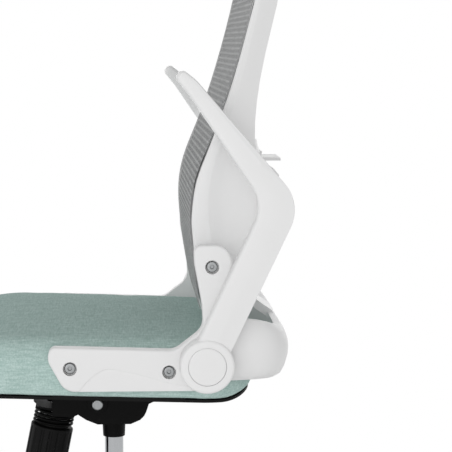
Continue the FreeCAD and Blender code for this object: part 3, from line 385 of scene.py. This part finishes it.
floor = {"radius": 0.85, "fadeFrom": 0.30, "fadeTo": 0.84, "colour": "#F6F6F6", "lift": 0.6}


def addFloor():
    # a pale disc that keeps the shadow and fades into the white backdrop
    bm = bmesh.new()
    bmesh.ops.create_circle(bm, cap_ends=True, segments=96, radius=floor["radius"])
    mesh = bpy.data.meshes.new("floor")
    bm.to_mesh(mesh)
    bm.free()
    ground = bpy.data.objects.new("floor", mesh)
    bpy.context.scene.collection.objects.link(ground)
    material = newMaterial("pale studio floor")
    place = add(material, "ShaderNodeTexCoord").outputs["Object"]
    reach = add(material, "ShaderNodeVectorMath", {"operation": "LENGTH"}, None, {0: place})
    fade = add(material, "ShaderNodeMapRange", {"interpolation_type": "SMOOTHSTEP"},
               {"From Min": floor["fadeFrom"], "From Max": floor["fadeTo"]}, {"Value": reach.outputs["Value"]})
    painted = add(material, "ShaderNodeBsdfDiffuse", None, {"Color": linear(floor["colour"])})
    glow = add(material, "ShaderNodeEmission", None, {"Color": (1, 1, 1, 1), "Strength": 1.0})
    rays = add(material, "ShaderNodeLightPath")
    lift = add(material, "ShaderNodeMath", {"operation": "MULTIPLY"}, {1: floor["lift"]},
               {0: rays.outputs["Is Camera Ray"]})
    pale = add(material, "ShaderNodeMixShader", None, None,
               {0: lift.outputs["Value"], 1: painted.outputs[0], 2: glow.outputs[0]})
    bare = add(material, "ShaderNodeBsdfTransparent")
    mixed = add(material, "ShaderNodeMixShader", None, None,
                {0: fade.outputs["Result"], 1: pale.outputs[0], 2: bare.outputs[0]})
    finishMaterial(material, mixed)
    mesh.materials.append(material)


addCamera()
addWorld()
addLamp("key", light["key"], light["keyPlace"], light["keySize"])
addLamp("fill", light["fill"], light["fillPlace"], light["fillSize"])
addFloor()
bpy.context.scene.view_settings.view_transform = "Standard"
print("camera, light and floor set")

edgeWidth = {"usual": 0.0006, "arm_left": 0.0016, "arm_right": 0.0016, "bracket_left": 0.0012,
             "bracket_right": 0.0012, "back_frame": 0.0, "back_spine": 0.0, "seat_pan": 0.0012,
             "tilt_housing": 0.0008}
soft = ["seat_cushion", "back_mesh", "tension_spring"]
for node in nodes:
    if node not in soft:
        dressNode(node, edgeWidth.get(node, edgeWidth["usual"]))
print("rigid pieces dressed")

seat = {"half": 0.2470, "front": -0.261, "rear": 0.201, "low": 0.3755, "side": 0.4480, "crown": 0.010,
        "acrossPower": 2.4, "alongPower": 3.0,
        "corner": 0.078, "topRound": 0.028, "lowRound": 0.004, "slope": 2.0, "slopePivot": 0.363,
        "dropFrom": -0.14, "drop": 0.022, "voxel": 0.006, "pressure": 4.0, "frames": 20, "cap": 0.004,
        "bracketFace": 0.2448, "bracketSpan": (-0.090, 0.165, 0.388, 0.452)}


def seatBlock():
    # the foam block: a rounded slab, still flat on top
    bm = bmesh.new()
    bmesh.ops.create_cube(bm, size=1.0)
    span = (2 * seat["half"], seat["rear"] - seat["front"], seat["side"] - seat["low"])
    middle = (0.0, (seat["rear"] + seat["front"]) / 2, (seat["side"] + seat["low"]) / 2)
    bmesh.ops.scale(bm, vec=span, verts=bm.verts)
    bmesh.ops.translate(bm, vec=middle, verts=bm.verts)
    upright = [e for e in bm.edges if abs(e.verts[0].co.z - e.verts[1].co.z) > 0.01]
    bmesh.ops.bevel(bm, geom=upright, offset=seat["corner"], segments=10, profile=0.5, affect="EDGES", material=-1)
    for level, radius in ((seat["side"], seat["topRound"]), (seat["low"], seat["lowRound"])):
        rim = [e for e in bm.edges if all(abs(v.co.z - level) < 0.0005 for v in e.verts)]
        bmesh.ops.bevel(bm, geom=rim, offset=radius, segments=5, profile=0.5, affect="EDGES", material=-1)
    return bm


def crownSeat(mesh):
    # the top swells to its crown and falls away in a waterfall at the front
    middle = (seat["rear"] + seat["front"]) / 2
    reach = (seat["rear"] - seat["front"]) / 2
    for vertex in mesh.vertices:
        across = min(abs(vertex.co.x) / seat["half"], 1.0)
        along = min(abs(vertex.co.y - middle) / reach, 1.0)
        height = (vertex.co.z - seat["low"]) / (seat["side"] - seat["low"])
        swell = (1 - across ** seat["acrossPower"]) * (1 - along ** seat["alongPower"])
        forward = max(0.0, (seat["dropFrom"] - vertex.co.y) / (seat["dropFrom"] - seat["front"]))
        vertex.co.z += height * (seat["crown"] * swell - seat["drop"] * forward ** 2)
        vertex.co.z += (1 - height) * rearCurl(vertex.co.y)


def swellSeat(piece):
    # cloth under a light pressure rounds the block as foam under a stretched cover does
    start = [vertex.co.copy() for vertex in piece.data.vertices]
    cloth = piece.modifiers.new("cover", "CLOTH")
    cloth.settings.use_pressure = True
    cloth.settings.uniform_pressure_force = seat["pressure"]
    cloth.settings.effector_weights.gravity = 0.0
    cloth.point_cache.frame_end = seat["frames"]
    scene = bpy.context.scene
    for step in range(1, seat["frames"] + 1):
        scene.frame_set(step)
    shown = piece.evaluated_get(bpy.context.evaluated_depsgraph_get())
    swollen = [vertex.co.copy() for vertex in shown.data.vertices]
    piece.modifiers.remove(cloth)
    scene.frame_set(1)
    for vertex, before, after in zip(piece.data.vertices, start, swollen):
        move = after - before
        if move.length > seat["cap"]:
            move *= seat["cap"] / move.length
        vertex.co = before + move


def addSeatCushion():
    cushion = pieceFrom(seatBlock(), "seatCushion", "seat", "seat_fabric", ["seat_cushion"])
    remesh = cushion.modifiers.new("remesh", "REMESH")
    remesh.mode = "VOXEL"
    remesh.voxel_size = seat["voxel"]
    shown = cushion.evaluated_get(bpy.context.evaluated_depsgraph_get())
    mesh = bpy.data.meshes.new_from_object(shown)
    cushion.modifiers.remove(remesh)
    cushion.data = mesh
    crownSeat(mesh)
    swellSeat(cushion)
    bm = bmesh.new()
    bm.from_mesh(mesh)
    bmesh.ops.smooth_vert(bm, verts=bm.verts, factor=0.5, use_axis_x=True, use_axis_y=True, use_axis_z=True)
    for vertex in bm.verts:
        vertex.co.z = max(seat["low"], vertex.co.z)
    pivot = Vector((0, 0, seat["slopePivot"]))
    bmesh.ops.rotate(bm, cent=pivot, matrix=Matrix.Rotation(math.radians(-seat["slope"]), 3, "X"), verts=bm.verts)
    front, rear, low, high = seat["bracketSpan"]
    for vertex in bm.verts:
        if front < vertex.co.y < rear and low < vertex.co.z < high:
            vertex.co.x = max(-seat["bracketFace"], min(seat["bracketFace"], vertex.co.x))
    for face in bm.faces:
        face.smooth = True
    bm.to_mesh(mesh)
    bm.free()
    fine = cushion.modifiers.new("fine", "SUBSURF")
    fine.levels = 1
    fine.render_levels = 1
    print("seat cushion:", len(mesh.vertices), "points")


addSeatCushion()

backMesh = {"columns": 40, "rows": 90, "corner": 0.072, "inset": 0.002, "attempts": 6}


def backMeshGrid():
    # a flat knit stretched into the frame: laid out flat, its corners rounded, then pressed on the solid's front
    low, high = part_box("back_mesh")
    half = (high.x - low.x) / 2
    tall = (high.z - low.z) / 2
    middle = (high.z + low.z) / 2
    bm = bmesh.new()
    bmesh.ops.create_grid(bm, x_segments=backMesh["columns"], y_segments=backMesh["rows"], size=1.0)
    layer = bm.loops.layers.uv.new("cloth")
    bmesh.ops.scale(bm, vec=(half, tall, 1.0), verts=bm.verts)
    radius = backMesh["corner"]
    for vertex in bm.verts:
        inX = max(0.0, abs(vertex.co.x) - (half - radius)) / radius
        inY = max(0.0, abs(vertex.co.y) - (tall - radius)) / radius
        if inX > 0 and inY > 0:
            squeeze = max(inX, inY) / math.hypot(inX, inY)
            vertex.co.x = math.copysign(half - radius + inX * squeeze * radius, vertex.co.x)
            vertex.co.y = math.copysign(tall - radius + inY * squeeze * radius, vertex.co.y)
    for face in bm.faces:
        face.smooth = True
        for loop in face.loops:
            loop[layer].uv = (loop.vert.co.x, loop.vert.co.y)
    bmesh.ops.rotate(bm, cent=(0, 0, 0), matrix=Matrix.Rotation(math.radians(90), 3, "X"), verts=bm.verts)
    solid = nodes["back_mesh"]
    keep = 1 - backMesh["inset"]
    for vertex in bm.verts:
        start = Vector((vertex.co.x * keep, low.y - 0.1, middle + vertex.co.z * keep))
        found, spot, normal, index = solid.ray_cast(start, Vector((0, 1, 0)))
        if not found:
            depth = (low.y + high.y) / 2
            for attempt in range(backMesh["attempts"]):
                found, spot, normal, index = solid.closest_point_on_mesh(Vector((start.x, depth, start.z)))
                depth = spot.y
        vertex.co = spot
    return bm, half, tall


def addBackMesh():
    bm, half, tall = backMeshGrid()
    area = sum(face.calc_area() for face in bm.faces)
    sheet = pieceFrom(bm, "backMesh", "seat", "back_mesh", ["back_mesh"])
    print("back mesh stretched:", round(area, 4), "square metres")


addBackMesh()


def addTensionSpring():
    bm = mergedCopy("tension_spring")
    smoothUnder(bm, 50)
    spring = pieceFrom(bm, "tensionSpring", "seat", "black_steel", ["tension_spring"])
    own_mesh(spring)


addTensionSpring()
print("spring placed")
